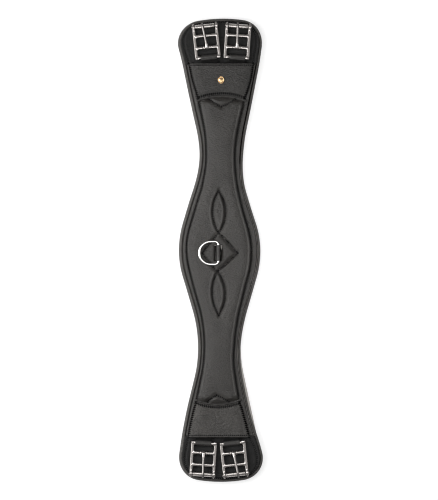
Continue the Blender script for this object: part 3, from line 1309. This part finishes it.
def on_face_at(seam, lift=0.1):
    """A path of laid points, raised to the face panel's surface."""
    px, py = seam[:, 0], seam[:, 1]
    return np.c_[px, py, face_relief(plan_of(px, py), py)[0] + lift]


y = np.arange(-PANEL_END + 1, PANEL_END - 1, 1.0)
side_runs = [on_surface(side * half_width(y, SEAM_INSET), y, face_relief) for side in (-1, 1)]
stitches("stitches_left", side_runs[:1], length=1.8, slant=-24)
stitches("stitches_right", side_runs[1:], length=1.8, slant=-24)
stitches("stitches_face", [on_face_at(seam[0]) for seam in face_seams + dart_seams], length=1.8, slant=14)

# The end's outline, whose points are each moved in to the stitch line's own inset.
ring_inset, nudge = 4.85, 0.05
ring = outline(ring_inset, 0.8)
ring = ring[ring[:, 1] > PANEL_END + 2]
ring = ring[np.argsort(-np.arctan2(ring[:, 1] - PANEL_END, ring[:, 0]))]
slope = np.stack([
    inset_of(ring[:, 0] + nudge, ring[:, 1]) - inset_of(ring[:, 0] - nudge, ring[:, 1]),
    inset_of(ring[:, 0], ring[:, 1] + nudge) - inset_of(ring[:, 0], ring[:, 1] - nudge),
], -1)  # fmt: skip
drawn = ring + unit(slope) * (seam_inset(ring[:, 1]) - ring_inset)[:, None]
drawn = drawn[np.abs(drawn[:, 1]) > PANEL_END + 0.8]
reach = arc_half - 3.2
arc_x = np.linspace(-reach, reach, 90)
arc_y = PATCH_ARC - arc_radius + np.sqrt((arc_radius + PATCH_SEAM) ** 2 - arc_x**2)
mouth = PATCH_MOUTH - MOUTH_SEAM
reach = float(half_width(mouth, PATCH_INSET)) - 1.6
mouth_x = np.linspace(-reach, reach, 90)
for end, sign in (("top", 1), ("bottom", -1)):
    stitches(f"stitches_end_{end}", [on_surface(*(drawn * sign).T, guard_relief)], slant=-18)
    runs = [(arc_x, arc_y), (mouth_x, np.full_like(mouth_x, mouth))]
    runs = [on_surface(x * sign, y * sign, patch_relief) for x, y in runs]
    stitches(f"stitches_patch_{end}", runs, slant=12)

# ---------------- stage, light and camera

FLOOR_REACH = 6.0
corners = [(x * FLOOR_REACH, y * FLOOR_REACH, 0) for x, y in ((-1, -1), (1, -1), (1, 1), (-1, 1))]
floor_mesh = bpy.data.meshes.new("floor")
floor_mesh.from_pydata(corners, [], [(0, 1, 2, 3)])
floor = bpy.data.objects.new("floor", floor_mesh)
floor.location.z = -0.0004
scene.collection.objects.link(floor)
n = Nodes("pale_floor")
pale = n.mix(n.noise(6.0, 2.0), grey(0.45), grey(0.47))
floor_mesh.materials.append(n.set(Base_Color=pale, Roughness=0.8, Emission_Color=pale, Emission_Strength=1.4))


def area_light(name, location, size, size_y, power):
    """A lamp of size by size_y metres that points at the girth's middle."""
    data = bpy.data.lights.new(name, "AREA")
    data.energy = power
    data.shape = "RECTANGLE"
    data.size, data.size_y = size, size_y
    light = bpy.data.objects.new(name, data)
    scene.collection.objects.link(light)
    light.location = location
    light.rotation_euler = (Vector((0, 0, 0)) - Vector(location)).to_track_quat("-Z", "Y").to_euler()
    return light


area_light("left", (-1.8, 0.1, 1.1), 1.9, 2.4, 60)
area_light("right", (1.7, 0.0, 1.1), 1.0, 1.4, 7)
near = area_light("near", (0.0, 0.0, 0.42), 0.32, 0.28, 1.0)
near.visible_camera = False

world = bpy.data.worlds.new("studio")
world.use_nodes = True
tree = world.node_tree
background = tree.nodes["Background"]
where = tree.nodes.new("ShaderNodeTexCoord")
split = tree.nodes.new("ShaderNodeSeparateXYZ")
tree.links.new(where.outputs["Generated"], split.inputs[0])
ramp = tree.nodes.new("ShaderNodeValToRGB")
tree.links.new(split.outputs["Z"], ramp.inputs["Fac"])
stops = ramp.color_ramp.elements
stops[0].position, stops[0].color = 0.5, (0.2, 0.2, 0.2, 1)
stops[1].position, stops[1].color = 1.0, (0.55, 0.54, 0.53, 1)
stops.new(0.9).color = (0.25, 0.25, 0.25, 1)
tree.links.new(ramp.outputs["Color"], background.inputs["Color"])
background.inputs["Strength"].default_value = 1.0
scene.world = world

scene.cycles.filter_width = 1.15
scene.view_settings.view_transform = "Standard"
scene.view_settings.look = "None"

LENS, FRAME_HEIGHT = 200.0, 0.7125
camera_data = bpy.data.cameras.new("camera")
camera_data.lens, camera_data.sensor_width = LENS, 36.0
camera_data.sensor_fit = "AUTO"
camera_data.clip_end = 100
camera = bpy.data.objects.new("camera", camera_data)
scene.collection.objects.link(camera)
camera.location = (-0.0019, 0.0004, 0.006 + FRAME_HEIGHT / 36.0 * LENS)
scene.camera = camera
